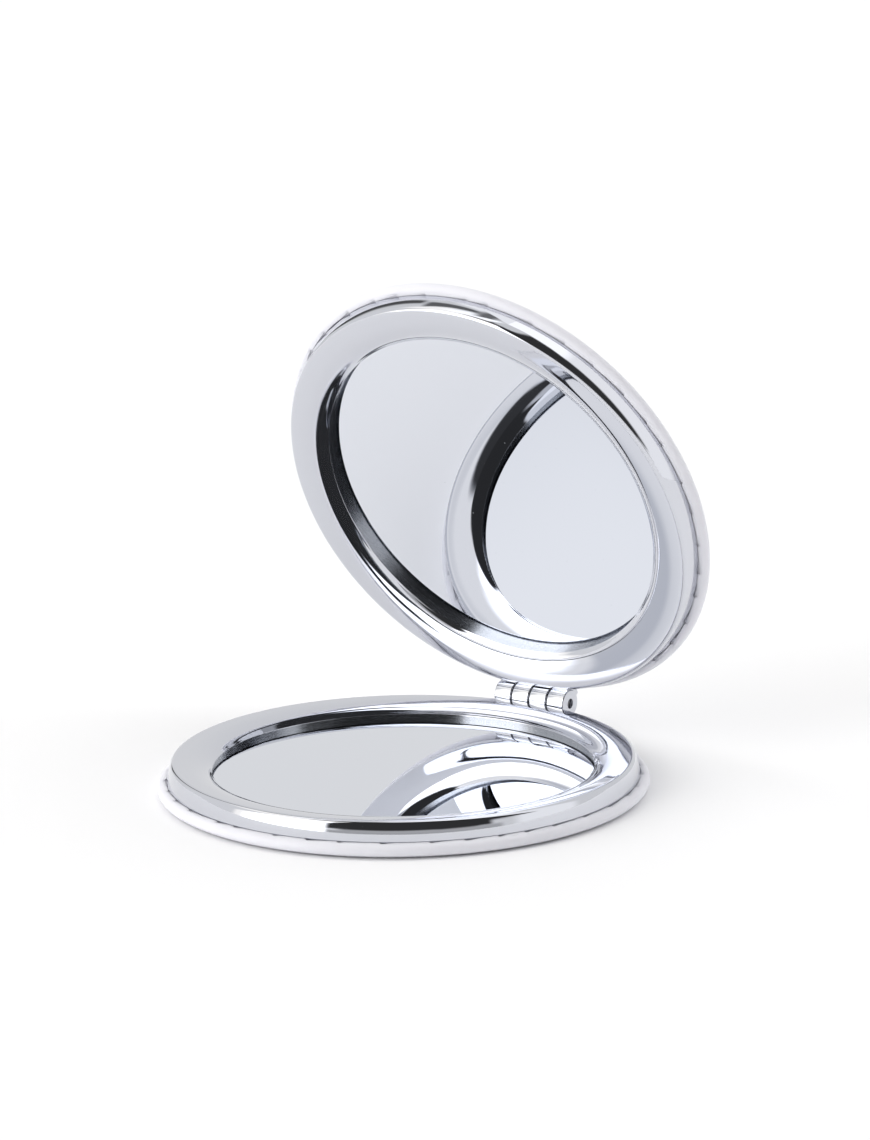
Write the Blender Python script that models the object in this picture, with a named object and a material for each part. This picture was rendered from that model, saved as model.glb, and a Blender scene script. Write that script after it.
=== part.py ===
"""Round folding pocket mirror: two padded halves on one hinge, shown part way open.

Both halves are the same set of pieces. A half is modelled once, below the closing plane, in a frame
whose origin is the middle of the hinge axis: X runs along the axis, Y points away from the mirrors and
Z = 0 is the plane where the closed halves meet. Turning a half by half a turn about Y gives its partner.
Lengths are in metres and angles in degrees.
"""
import math

import bmesh
import bpy
from mathutils import Matrix

# Chrome-plated ring frame
BAND_RADIUS = 0.0337          # lower edge of the side band, which flares outwards
BAND_CHAMFER = 0.0002
BAND_FLARE = 0.00055          # from the shoulder out to the band's lower edge
SHOULDER_ROUNDING = 0.0007    # from the side band over to the face
RIDGE_DEPTH = 0.00015         # highest line of the face, below the closing plane
FACE_WIDTH = 0.0042           # from the shoulder in to where the face breaks into the cove
FACE_FALL = 0.0005            # from the ridge down to there
FACE_BULGE = 0.6              # how far the face bulges above a straight cone, as a share of its fall
COVE_WIDTH = 0.0018           # from there in to the opening over the mirror
COVE_DROP = 0.00097
COVE_BULGE = 0.45             # the same for the cove, as a share of its drop
LIP_THICKNESS = 0.00015
LIP_ROUNDING = 0.0001
LIP_WIDTH = 0.00195           # how far the lip reaches in over the pocket
POCKET_WALL = 0.0008          # between the pocket and the lightening groove
BAND_WALL = 0.0018            # between that groove and the side band's lower edge
GROOVE_HEIGHT = 0.0011        # from the side band's foot up to the groove's ceiling

# Mirror glass and its foam tape
MIRROR_THICKNESS = 0.0013
MIRROR_CHAMFER = 0.00015
MIRROR_CLEARANCE = 0.0002     # round the glass in the frame's pocket
TAPE_THICKNESS = 0.00023
TAPE_INSET = 0.0014           # how much smaller the tape is than the glass

# Steel cover plate, foam and leatherette cover
COVER_OVERHANG = 0.0013       # how far the padded rim stands out beyond the side band
COVER_THICKNESS = 0.00055
BEAD_HALF_WIDTH = 0.00115     # padded rim
BEAD_OVERLAP = 0.0001         # how far the padded rim rises over the side band's foot
BAND_GROOVE = 0.0001          # between the side band and the padded rim
FLAP_REACH = 0.0025           # leatherette turned in under the frame
FLAP_THICKNESS = 0.0003
FLAP_CLEARANCE = 0.0002       # between the flap and the plate
PLATE_CLEARANCE = 0.00035     # between the plate's edge and the leatherette round it
PLATE_THICKNESS = 0.00035
PLATE_EDGE_ROUNDING = 0.0001
FOAM_INSET = 0.0016           # how much smaller the foam is than the plate
FOAM_EDGE_THICKNESS = 0.0001  # foam pinched between the plate and the padded rim
CROWN_HEIGHT = 0.0007         # padding at the middle, beyond the rim
REST_FLAT_DEPTH = 0.0005      # how far the lower crown is pressed flat

# Closing magnets
MAGNET_LENGTH = 0.006
MAGNET_CLEARANCE = 0.00015    # to the groove's walls
MAGNET_DROP = 0.0002          # from the magnet down to the leatherette flap
MAGNET_CHAMFER = 0.0001

# Hinge
HINGE_STANDOFF = 0.00104      # from the side band's lower edge out to the axis
BARREL_RADIUS = 0.0021
BARREL_ROUNDING = 0.0002
KNUCKLE_PITCH = 0.00309
KNUCKLE_GAP = 0.00015
KNUCKLE_COUNT = 4
KNUCKLE_RUNNING_GAP = 0.0002  # round a knuckle in the partner frame's relief
KNUCKLE_SIDE_GAP = 0.0001
END_GAP = 0.0003
WEB_BITE = 0.00024            # how far a knuckle's foot reaches into the ring
WEB_TOP_DEPTH = 0.0003
WEB_CLEARANCE = 0.0002        # between a knuckle's foot and the padded rim
PIN_RADIUS = 0.0007
PIN_CLEARANCE = 0.00005
PIN_RECESS = 0.0004
PIN_ROUNDING = 0.00015

# Shared clearances and cutting overrun
LAYER_GAP = 0.0001
CUT_OVERRUN = 0.001
WELD_DISTANCE = 0.0000001

# How far the halves are open, from closed
OPENING_ANGLE = 66.9

# Segments round the turned pieces
FRAME_SEGMENTS = 64
COVER_SEGMENTS = 60
INNER_SEGMENTS = 48
BARREL_SEGMENTS = 24
PIN_SEGMENTS = 20
SHOULDER_STEPS = 5
FACE_STEPS = 3
COVE_STEPS = 4
BEAD_STEPS = 8
INNER_BEAD_STEPS = 4
CROWN_STEPS = 3
ROUNDING_STEPS = 2
CHAMFER_STEPS = 1

# Angles in degrees: where shading breaks, and where the bead's inner wall leaves the flap
SHARP_ANGLE = 30
INNER_BEAD_START = 60

# The ring's radii, from the side band inwards
SHOULDER_RADIUS = BAND_RADIUS - BAND_FLARE
FACE_INNER_RADIUS = SHOULDER_RADIUS - FACE_WIDTH
LIP_RADIUS = FACE_INNER_RADIUS - COVE_WIDTH
POCKET_RADIUS = LIP_RADIUS + LIP_WIDTH
GROOVE_INNER_RADIUS = POCKET_RADIUS + POCKET_WALL
GROOVE_OUTER_RADIUS = BAND_RADIUS - BAND_WALL

# Depths below the closing plane, from the face down to the lower crown
FACE_INNER_DEPTH = RIDGE_DEPTH + FACE_FALL
LIP_DEPTH = FACE_INNER_DEPTH + COVE_DROP
POCKET_DEPTH = LIP_DEPTH + LIP_THICKNESS
MIRROR_DEPTH = POCKET_DEPTH + LAYER_GAP
MIRROR_BACK = MIRROR_DEPTH + MIRROR_THICKNESS
TAPE_DEPTH = MIRROR_BACK + LAYER_GAP
TAPE_BACK = TAPE_DEPTH + TAPE_THICKNESS
PLATE_DEPTH = TAPE_BACK + LAYER_GAP
FLAP_DEPTH = PLATE_DEPTH - FLAP_CLEARANCE - FLAP_THICKNESS
BAND_DEPTH = FLAP_DEPTH - LAYER_GAP
GROOVE_DEPTH = BAND_DEPTH - GROOVE_HEIGHT
FOAM_DEPTH = PLATE_DEPTH + PLATE_THICKNESS + LAYER_GAP
RIM_DEPTH = FOAM_DEPTH + FOAM_EDGE_THICKNESS + LAYER_GAP + COVER_THICKNESS
REST_DEPTH = RIM_DEPTH + CROWN_HEIGHT - REST_FLAT_DEPTH

# The glass, the tape and the padded cover
MIRROR_RADIUS = POCKET_RADIUS - MIRROR_CLEARANCE
TAPE_RADIUS = MIRROR_RADIUS - TAPE_INSET
COVER_RADIUS = BAND_RADIUS + COVER_OVERHANG
BEAD_TOP_DEPTH = BAND_DEPTH - BEAD_OVERLAP
BEAD_HALF_HEIGHT = (RIM_DEPTH - BEAD_TOP_DEPTH) / 2
BEAD_CENTRE_RADIUS = COVER_RADIUS - BEAD_HALF_WIDTH
BEAD_CENTRE_DEPTH = BEAD_TOP_DEPTH + BEAD_HALF_HEIGHT
FLAP_INNER_RADIUS = BAND_RADIUS - FLAP_REACH
PLATE_RADIUS = COVER_RADIUS - COVER_THICKNESS - PLATE_CLEARANCE
FOAM_RADIUS = PLATE_RADIUS - FOAM_INSET

# The hinge and the feet of its knuckles
HINGE_REACH = BAND_RADIUS + HINGE_STANDOFF
KNUCKLE_LENGTH = KNUCKLE_PITCH - KNUCKLE_GAP
BARREL_LENGTH = KNUCKLE_COUNT * KNUCKLE_PITCH - KNUCKLE_GAP
RING_AT_BARREL_END = math.sqrt(SHOULDER_RADIUS ** 2 - (BARREL_LENGTH / 2) ** 2)
WEB_REACH = HINGE_REACH - RING_AT_BARREL_END + WEB_BITE
WEB_BOTTOM_DEPTH = BEAD_TOP_DEPTH - WEB_CLEARANCE


def clear_scene():
    """Removes whatever objects the file opened with."""
    for thing in list(bpy.data.objects):
        bpy.data.objects.remove(thing, do_unlink=True)


def finish_material(name, colour, roughness, metallic):
    """A plain Principled material in the piece's own colour."""
    material = bpy.data.materials.new(name)
    material.use_nodes = True
    shader = material.node_tree.nodes["Principled BSDF"]
    shader.inputs["Base Color"].default_value = (*colour, 1.0)
    shader.inputs["Roughness"].default_value = roughness
    shader.inputs["Metallic"].default_value = metallic
    material.diffuse_color = (*colour, 1.0)
    return material


def arc(centre, radii, start, end, steps):
    """Points (radius, height) along an elliptical arc, both ends included, angles in degrees."""
    points = []
    for step in range(steps + 1):
        angle = math.radians(start + (end - start) * step / steps)
        points.append((centre[0] + radii[0] * math.cos(angle), centre[1] + radii[1] * math.sin(angle)))
    return points


def turned(name, outline, segments, closed):
    """A mesh spun about Z from an outline of (radius, height) points.

    A closed outline makes a ring. An open one starts and ends on the axis and makes a solid disc.
    """
    shape = bmesh.new()
    corners = [shape.verts.new((radius, 0.0, height)) for radius, height in outline]
    edges = [shape.edges.new(pair) for pair in zip(corners, corners[1:])]
    if closed:
        edges.append(shape.edges.new((corners[-1], corners[0])))
    bmesh.ops.spin(shape, geom=corners + edges, cent=(0, 0, 0), axis=(0, 0, 1),
                   angle=math.tau, steps=segments, use_merge=True)
    bmesh.ops.remove_doubles(shape, verts=shape.verts, dist=WELD_DISTANCE)
    return finished_mesh(name, shape)


def finished_mesh(name, shape):
    """Turns a bmesh into a smooth-shaded mesh with its faces pointing out."""
    bmesh.ops.recalc_face_normals(shape, faces=shape.faces)
    mesh = bpy.data.meshes.new(name)
    shape.to_mesh(mesh)
    shape.free()
    mesh.shade_smooth()
    mesh.set_sharp_from_angle(angle=math.radians(SHARP_ANGLE))
    return mesh


def box_mesh(name, low, high, chamfer):
    """A box between two corners, with chamfered edges where a chamfer is given."""
    shape = bmesh.new()
    bmesh.ops.create_cube(shape, size=1)
    size = [b - a for a, b in zip(low, high)]
    middle = [(a + b) / 2 for a, b in zip(low, high)]
    bmesh.ops.transform(shape, matrix=Matrix.Diagonal((*size, 1)), verts=shape.verts)
    bmesh.ops.translate(shape, vec=middle, verts=shape.verts)
    if chamfer:
        bmesh.ops.bevel(shape, geom=shape.edges, offset=chamfer, segments=CHAMFER_STEPS, affect="EDGES")
    return finished_mesh(name, shape)


def rod_mesh(name, radius, start, end, rounding, segments):
    """A round bar along X between two stations, with rounded ends."""
    length = end - start
    lower = arc((radius - rounding, rounding), (rounding, rounding), -90, 0, ROUNDING_STEPS)
    upper = arc((radius - rounding, length - rounding), (rounding, rounding), 0, 90, ROUNDING_STEPS)
    mesh = turned(name, [(0, 0), *lower, *upper, (0, length)], segments, closed=False)
    mesh.transform(Matrix.Translation((start, 0, 0)) @ Matrix.Rotation(math.radians(90), 4, "Y"))
    return mesh


def disc_centre(mesh):
    """Moves a turned mesh from the hinge axis to the middle of its half."""
    mesh.transform(Matrix.Translation((0, -HINGE_REACH, 0)))
    return mesh


def combined(name, base, parts, operation):
    """The mesh left when each part in turn is joined to the base mesh, or cut from it."""
    body = bpy.data.objects.new(name, base)
    bpy.context.scene.collection.objects.link(body)
    tools = []
    for part in parts:
        tool = bpy.data.objects.new(part.name, part)
        bpy.context.scene.collection.objects.link(tool)
        modifier = body.modifiers.new(part.name, "BOOLEAN")
        modifier.operation = operation
        modifier.object = tool
        tools.append(tool)
    bpy.context.view_layer.update()
    mesh = bpy.data.meshes.new_from_object(body.evaluated_get(bpy.context.evaluated_depsgraph_get()))
    for thing in [body, *tools]:
        bpy.data.objects.remove(thing, do_unlink=True)
    mesh.name = name
    mesh.shade_smooth()
    mesh.set_sharp_from_angle(angle=math.radians(SHARP_ANGLE))
    return mesh


def knuckle_spans(first):
    """Ends of every other knuckle along X, counted from the given one."""
    spans = []
    for index in range(first, KNUCKLE_COUNT, 2):
        start = (index - KNUCKLE_COUNT / 2) * KNUCKLE_PITCH + KNUCKLE_GAP / 2
        spans.append((start, start + KNUCKLE_LENGTH))
    return spans


def bulged(start, end, bulge, steps):
    """Points (radius, height) from start, short of end, on a run that bulges above a straight one."""
    points = []
    for step in range(steps):
        share = step / steps
        fallen = share - bulge * share * (1 - share)
        points.append((start[0] + (end[0] - start[0]) * share, start[1] + (end[1] - start[1]) * fallen))
    return points


def frame_outline():
    """Section of the ring frame, from the top of the side band over the face to the groove."""
    shoulder_centre = (SHOULDER_RADIUS - SHOULDER_ROUNDING, -(RIDGE_DEPTH + SHOULDER_ROUNDING))
    flare = math.atan2(BAND_RADIUS - SHOULDER_RADIUS, BAND_DEPTH + shoulder_centre[1])
    first_fall = (FACE_INNER_DEPTH - RIDGE_DEPTH) * (1 - FACE_BULGE)
    fall = math.atan2(first_fall, shoulder_centre[0] - FACE_INNER_RADIUS)
    shoulder = arc(shoulder_centre, (SHOULDER_ROUNDING, SHOULDER_ROUNDING), math.degrees(flare),
                   90 + math.degrees(fall), SHOULDER_STEPS)
    face_inner = (FACE_INNER_RADIUS, -FACE_INNER_DEPTH)
    face = bulged(shoulder[-1], face_inner, FACE_BULGE, FACE_STEPS)
    cove = bulged(face_inner, (LIP_RADIUS + LIP_ROUNDING, -LIP_DEPTH), COVE_BULGE, COVE_STEPS)
    lip = arc((LIP_RADIUS + LIP_ROUNDING, -(LIP_DEPTH + LIP_ROUNDING)), (LIP_ROUNDING, LIP_ROUNDING),
              90, 180, ROUNDING_STEPS)
    underside = [(LIP_RADIUS, -POCKET_DEPTH), (POCKET_RADIUS, -POCKET_DEPTH), (POCKET_RADIUS, -TAPE_BACK),
                 (GROOVE_INNER_RADIUS, -TAPE_BACK), (GROOVE_INNER_RADIUS, -GROOVE_DEPTH),
                 (GROOVE_OUTER_RADIUS, -GROOVE_DEPTH), (GROOVE_OUTER_RADIUS, -BAND_DEPTH),
                 (BAND_RADIUS - BAND_CHAMFER, -BAND_DEPTH), (BAND_RADIUS, -(BAND_DEPTH - BAND_CHAMFER))]
    return [*shoulder, *face[1:], *cove, *lip, *underside]


def frame_mesh():
    """Ring frame with its own two knuckles, relieved for the partner's two."""
    ring = disc_centre(turned("ring", frame_outline(), FRAME_SEGMENTS, closed=True))
    reliefs = []
    for start, end in knuckle_spans(1):
        outer_gap = END_GAP if end > BARREL_LENGTH / 2 - KNUCKLE_GAP else KNUCKLE_SIDE_GAP
        reliefs.append(rod_mesh("relief", BARREL_RADIUS + KNUCKLE_RUNNING_GAP, start - KNUCKLE_SIDE_GAP,
                                end + outer_gap, BARREL_ROUNDING, BARREL_SEGMENTS))
    relieved = combined("relieved ring", ring, reliefs, "DIFFERENCE")
    knuckles = []
    for start, end in knuckle_spans(0):
        knuckles.append(rod_mesh("knuckle", BARREL_RADIUS, start, end, BARREL_ROUNDING, BARREL_SEGMENTS))
        knuckles.append(box_mesh("web", (start + BARREL_ROUNDING, -WEB_REACH, -WEB_BOTTOM_DEPTH),
                                 (end - BARREL_ROUNDING, 0, -WEB_TOP_DEPTH), 0))
    joined = combined("ring with knuckles", relieved, knuckles, "UNION")
    half_cut = BARREL_LENGTH / 2 + CUT_OVERRUN
    bore = rod_mesh("bore", PIN_RADIUS + PIN_CLEARANCE, -half_cut, half_cut, PIN_ROUNDING, PIN_SEGMENTS)
    return combined("frame", joined, [bore], "DIFFERENCE")


def mirror_mesh():
    """Round glass with a chamfered front edge."""
    outline = [(0, -MIRROR_DEPTH), (MIRROR_RADIUS - MIRROR_CHAMFER, -MIRROR_DEPTH),
               (MIRROR_RADIUS, -(MIRROR_DEPTH + MIRROR_CHAMFER)), (MIRROR_RADIUS, -MIRROR_BACK),
               (0, -MIRROR_BACK)]
    return disc_centre(turned("mirror", outline, INNER_SEGMENTS, closed=False))


def tape_mesh():
    """Disc of double-sided foam tape between the glass and the cover plate."""
    outline = [(0, -TAPE_DEPTH), (TAPE_RADIUS, -TAPE_DEPTH), (TAPE_RADIUS, -TAPE_BACK), (0, -TAPE_BACK)]
    return disc_centre(turned("tape", outline, INNER_SEGMENTS, closed=False))


def plate_mesh():
    """Pressed steel disc that carries the padded cover."""
    back = PLATE_DEPTH + PLATE_THICKNESS
    rounding = (PLATE_EDGE_ROUNDING, PLATE_EDGE_ROUNDING)
    corner = PLATE_RADIUS - PLATE_EDGE_ROUNDING
    top = arc((corner, -(PLATE_DEPTH + PLATE_EDGE_ROUNDING)), rounding, 90, 0, CHAMFER_STEPS)
    bottom = arc((corner, -(back - PLATE_EDGE_ROUNDING)), rounding, 0, -90, CHAMFER_STEPS)
    outline = [(0, -PLATE_DEPTH), *top, *bottom, (0, -back)]
    return disc_centre(turned("plate", outline, INNER_SEGMENTS, closed=False))


def crown(radius, pressed_flat):
    """How deep the padded face lies at a radius, flat in the middle where it is pressed."""
    bulge = CROWN_HEIGHT * (1 - (radius / BEAD_CENTRE_RADIUS) ** 2)
    if pressed_flat:
        bulge = min(bulge, CROWN_HEIGHT - REST_FLAT_DEPTH)
    return RIM_DEPTH + bulge


def crown_radii(pressed_flat, rim):
    """Radii where the padded face has a ring of corners, from the middle to its rim."""
    inner = 0.0
    if pressed_flat:
        inner = BEAD_CENTRE_RADIUS * math.sqrt(REST_FLAT_DEPTH / CROWN_HEIGHT)
    steps = range(0 if pressed_flat else 1, CROWN_STEPS)
    return [0.0] + [inner + (rim - inner) * step / CROWN_STEPS for step in steps]


def foam_mesh(pressed_flat):
    """Foam disc that fills the space between the plate and the leatherette."""
    inset = COVER_THICKNESS + LAYER_GAP
    face = [(radius, -(crown(radius, pressed_flat) - inset))
            for radius in [*crown_radii(pressed_flat, FOAM_RADIUS), FOAM_RADIUS]]
    outline = [*face, (FOAM_RADIUS, -FOAM_DEPTH), (0, -FOAM_DEPTH)]
    return disc_centre(turned("foam", outline, INNER_SEGMENTS, closed=False))


def cover_mesh(pressed_flat):
    """Leatherette cover: crowned face, padded rim and a flap turned in under the frame."""
    centre = (BEAD_CENTRE_RADIUS, -BEAD_CENTRE_DEPTH)
    radii = crown_radii(pressed_flat, BEAD_CENTRE_RADIUS)
    face = [(radius, -crown(radius, pressed_flat)) for radius in radii]
    bead_inner = BAND_RADIUS + BAND_GROOVE
    turn = math.degrees(math.acos((bead_inner - BEAD_CENTRE_RADIUS) / BEAD_HALF_WIDTH))
    bead = arc(centre, (BEAD_HALF_WIDTH, BEAD_HALF_HEIGHT), -90, turn, BEAD_STEPS)
    flap_back = FLAP_DEPTH + FLAP_THICKNESS
    flap = [(bead_inner, -FLAP_DEPTH), (FLAP_INNER_RADIUS, -FLAP_DEPTH), (FLAP_INNER_RADIUS, -flap_back),
            (bead_inner, -flap_back)]
    inner_radii = (BEAD_HALF_WIDTH - COVER_THICKNESS, BEAD_HALF_HEIGHT - COVER_THICKNESS)
    inner_bead = arc(centre, inner_radii, INNER_BEAD_START, -90, INNER_BEAD_STEPS)
    inner_face = [(radius, -(crown(radius, pressed_flat) - COVER_THICKNESS)) for radius in reversed(radii)]
    outline = [*face, *bead, *flap, *inner_bead, *inner_face]
    return disc_centre(turned("cover", outline, COVER_SEGMENTS, closed=False))


def magnet_mesh():
    """Bar magnet in the frame's groove, opposite the hinge, as wide as the groove's curve lets it be."""
    inner = GROOVE_INNER_RADIUS + MAGNET_CLEARANCE
    outer = math.sqrt((GROOVE_OUTER_RADIUS - MAGNET_CLEARANCE) ** 2 - (MAGNET_LENGTH / 2) ** 2)
    low = (-MAGNET_LENGTH / 2, -(HINGE_REACH + outer), -(FLAP_DEPTH - MAGNET_DROP))
    high = (MAGNET_LENGTH / 2, -(HINGE_REACH + inner), -(GROOVE_DEPTH + LAYER_GAP))
    return box_mesh("magnet", low, high, MAGNET_CHAMFER)


def pin_mesh():
    """Hinge pin, a little shorter than the barrel."""
    half = BARREL_LENGTH / 2 - PIN_RECESS
    return rod_mesh("pin", PIN_RADIUS, -half, half, PIN_ROUNDING, PIN_SEGMENTS)


def place(name, mesh, material, pivot):
    """Adds a piece to the scene, carried by the empty on its half's side of the hinge."""
    piece = bpy.data.objects.new(name, mesh)
    mesh.materials.clear()
    mesh.materials.append(material)
    bpy.context.scene.collection.objects.link(piece)
    piece.parent = pivot
    return piece


def pivot_empty(name, turn):
    """An empty on the hinge axis, turned as its half is."""
    pivot = bpy.data.objects.new(name, None)
    pivot.matrix_world = Matrix.Translation((0, HINGE_REACH, REST_DEPTH)) @ turn
    bpy.context.scene.collection.objects.link(pivot)
    return pivot


def build():
    """Makes both halves and the pin."""
    clear_scene()
    chrome = finish_material("chrome plating", (0.80, 0.80, 0.82), 0.05, 1.0)
    silvered = finish_material("silvered glass", (0.88, 0.89, 0.91), 0.02, 1.0)
    tape_foam = finish_material("white foam tape", (0.84, 0.83, 0.79), 0.7, 0.0)
    steel = finish_material("tinned steel plate", (0.62, 0.62, 0.64), 0.35, 1.0)
    foam = finish_material("white foam", (0.90, 0.90, 0.88), 0.9, 0.0)
    leatherette = finish_material("white leatherette", (0.87, 0.87, 0.91), 0.45, 0.0)
    magnet = finish_material("nickel-plated magnet", (0.55, 0.54, 0.52), 0.3, 1.0)
    pin = finish_material("steel pin", (0.50, 0.50, 0.52), 0.3, 1.0)
    half_turn = Matrix.Rotation(math.radians(180), 4, "Y")
    opened = Matrix.Rotation(math.radians(-OPENING_ANGLE), 4, "X")
    pivots = {"lower": pivot_empty("base_pivot", Matrix.Identity(4)),
              "upper": pivot_empty("lid_pivot", opened @ half_turn)}
    frame = frame_mesh()
    mirror = mirror_mesh()
    tape = tape_mesh()
    plate = plate_mesh()
    bar = magnet_mesh()
    for side, pivot in pivots.items():
        pressed_flat = side == "lower"
        place(f"{side}_frame", frame, chrome, pivot)
        place(f"{side}_mirror", mirror, silvered, pivot)
        place(f"{side}_mirror_tape", tape, tape_foam, pivot)
        place(f"{side}_cover_plate", plate, steel, pivot)
        place(f"{side}_cover_foam", foam_mesh(pressed_flat), foam, pivot)
        place(f"{side}_cover", cover_mesh(pressed_flat), leatherette, pivot)
        place(f"{side}_magnet", bar, magnet, pivot)
    place("hinge_pin", pin_mesh(), pin, pivots["lower"])


build()
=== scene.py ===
# %% [markdown]
# A folding pocket mirror, dressed for a studio picture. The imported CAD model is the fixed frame: it says
# where every piece lies and which body it moves with. This script gives the pieces their finish, and it
# models the chrome rings and the padded leatherette covers again, finer than the CAD holds them.

# %% Load the frame
import math

import bmesh
import bpy
from mathutils import Matrix, Vector


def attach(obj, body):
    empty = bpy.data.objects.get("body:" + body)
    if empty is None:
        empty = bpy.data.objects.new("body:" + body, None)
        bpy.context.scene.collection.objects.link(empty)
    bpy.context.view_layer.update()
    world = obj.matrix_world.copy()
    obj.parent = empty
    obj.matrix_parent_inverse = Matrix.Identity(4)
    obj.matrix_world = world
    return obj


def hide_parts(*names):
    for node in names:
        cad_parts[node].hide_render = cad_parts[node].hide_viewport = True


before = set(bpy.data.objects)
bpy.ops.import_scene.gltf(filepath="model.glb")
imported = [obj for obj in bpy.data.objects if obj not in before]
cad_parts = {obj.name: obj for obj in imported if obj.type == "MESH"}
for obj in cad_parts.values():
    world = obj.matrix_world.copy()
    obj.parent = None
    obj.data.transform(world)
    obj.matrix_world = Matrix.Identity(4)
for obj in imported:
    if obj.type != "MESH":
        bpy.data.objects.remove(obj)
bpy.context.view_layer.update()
print("nodes:", ", ".join(sorted(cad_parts)))

# %% [markdown]
# Sizes are written in millimetres, as a maker reads them off a drawing, and one factor turns them into
# Blender's metres. A half of the mirror is described by radius and by depth below its closing plane. Its
# origin is the middle of the hinge axis: X along the axis, Y away from the mirror, Z up. The lower half
# is only moved to its place. The upper half is the same thing turned over and swung open.

# %% Units and the two places
MM = 0.001
HINGE_REACH = 34.74 * MM      # from a mirror's centre to the hinge axis
CLOSING_HEIGHT = 5.0 * MM     # closing plane above the table
OPENING_ANGLE = 66.9          # degrees from closed

hinge_point = Matrix.Translation((0, HINGE_REACH, CLOSING_HEIGHT))
half_turn = Matrix.Rotation(math.radians(180), 4, "Y")
swing = Matrix.Rotation(math.radians(-OPENING_ANGLE), 4, "X")
places = {"lower": hinge_point, "upper": hinge_point @ swing @ half_turn}
bodies = {"lower": "base", "upper": "lid"}
print("upper half's centre:", places["upper"] @ Vector((0, -HINGE_REACH, 0)))

# %% [markdown]
# The camera comes first, because every later choice is judged through it. Its angles, its distance and
# how far it stands beside and above the lower mirror's centre were worked out from the outlines of the
# two discs. A long lens keeps the circles close to true ellipses.

# %% Camera
CAMERA_AZIMUTH = 34.506
CAMERA_ELEVATION = 13.069
CAMERA_ROLL = 1.009
CAMERA_PLACE = Vector((298.761, -425.825, 152.345)) * MM
CAMERA_LENS = 119.988
CAMERA_NEAREST = 10 * MM

azimuth = math.radians(CAMERA_AZIMUTH)
elevation = math.radians(CAMERA_ELEVATION)
back = Vector((math.sin(azimuth) * math.cos(elevation), -math.cos(azimuth) * math.cos(elevation),
               math.sin(elevation)))
right = Vector((math.cos(azimuth), math.sin(azimuth), 0))
level_view = Matrix((right, back.cross(right), back)).transposed()
view = level_view @ Matrix.Rotation(math.radians(-CAMERA_ROLL), 3, "Z")
camera_data = bpy.data.cameras.new("studio_camera")
camera_data.lens = CAMERA_LENS
camera_data.clip_start = CAMERA_NEAREST
camera = bpy.data.objects.new("studio_camera", camera_data)
camera.matrix_world = Matrix.Translation(CAMERA_PLACE) @ view.to_4x4()
bpy.context.scene.collection.objects.link(camera)
bpy.context.scene.camera = camera
print("the camera looks along", -view.col[2], "right is", view.col[0])

# %% [markdown]
# Colours are picked as the eye sees them on screen, in sRGB, and a renderer adds light in linear values.
# One function does that step. A second one adds a shader node with its settings and its links, so that a
# material reads as a short list.

# %% Colour and node helpers
def linear(hex_code):
    """Turns a colour such as 'C8CAD0' into the linear values that a shader wants."""
    channels = [int(hex_code[i:i + 2], 16) / 255 for i in (0, 2, 4)]
    return tuple(c / 12.92 if c <= 0.04045 else ((c + 0.055) / 1.055) ** 2.4 for c in channels) + (1.0,)


def add_node(tree, kind, settings=None, values=None, links=None):
    """Adds a node: settings are its properties, values fill its inputs, links join outputs to its inputs."""
    node = tree.nodes.new(kind)
    for name, value in (settings or {}).items():
        setattr(node, name, value)
    for name, value in (values or {}).items():
        node.inputs[name].default_value = value
    for name, output in (links or {}).items():
        tree.links.new(output, node.inputs[name])
    return node


def new_material(name, colour, roughness, metallic):
    """A finish to build on: its material, its node tree and its Principled shader."""
    material = bpy.data.materials.new(name)
    material.use_nodes = True
    tree = material.node_tree
    shader = tree.nodes["Principled BSDF"]
    shader.inputs["Base Color"].default_value = linear(colour)
    shader.inputs["Roughness"].default_value = roughness
    shader.inputs["Metallic"].default_value = metallic
    return material, tree, shader


# %% [markdown]
# The rings are zinc castings, polished on a wheel and plated with decorative chrome. Chrome gives back
# about two thirds of the light, faintly blue. Three things keep it from looking like a computer's chrome:
# the casting under the plating is never quite flat, so reflections waver, polishing leaves fine pits, and
# handling leaves a thin haze that only shows in the roughness.

# %% Chrome plating
def noise(tree, coordinates, size, detail=2.0, stretch=(1, 1, 1)):
    """A noise pattern whose blobs are about one size across, in metres."""
    scaled = add_node(tree, "ShaderNodeMapping", values={"Scale": stretch}, links={"Vector": coordinates})
    return add_node(tree, "ShaderNodeTexNoise", values={"Scale": 1 / size, "Detail": detail},
                    links={"Vector": scaled.outputs["Vector"]}).outputs["Fac"]


def between(tree, value, low, high, start=0.3, end=0.7):
    """Spreads a pattern's middle range over the values that a socket needs."""
    return add_node(tree, "ShaderNodeMapRange",
                    values={"From Min": start, "From Max": end, "To Min": low, "To Max": high},
                    links={"Value": value}).outputs["Result"]


def object_coordinates(tree):
    """The place on the piece in metres, which stays with the piece when it moves."""
    return add_node(tree, "ShaderNodeTexCoord").outputs["Object"]


def relief(tree, height, depth, strength=1.0, under=None):
    """Turns a pattern into bumps of a real depth in metres, over other bumps if any are given."""
    links = {"Height": height}
    if under:
        links["Normal"] = under
    return add_node(tree, "ShaderNodeBump", values={"Strength": strength, "Distance": depth},
                    links=links).outputs["Normal"]


def chrome_plating():
    """Bright chrome over polished cast zinc: wavering reflections, fine pits and a thin haze."""
    material, tree, shader = new_material("bright chrome plating", "D2D4DB", 0.03, 1.0)
    place = object_coordinates(tree)
    haze = noise(tree, place, 6 * MM, detail=4)
    tree.links.new(between(tree, haze, 0.015, 0.06), shader.inputs["Roughness"])
    waver = noise(tree, place, 3.5 * MM, detail=1)
    pits = noise(tree, place, 0.45 * MM, detail=2)
    soft = relief(tree, waver, 0.004 * MM)
    tree.links.new(relief(tree, pits, 0.0003 * MM, under=soft), shader.inputs["Normal"])
    return material


chrome = chrome_plating()
print("made", chrome.name)

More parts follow.
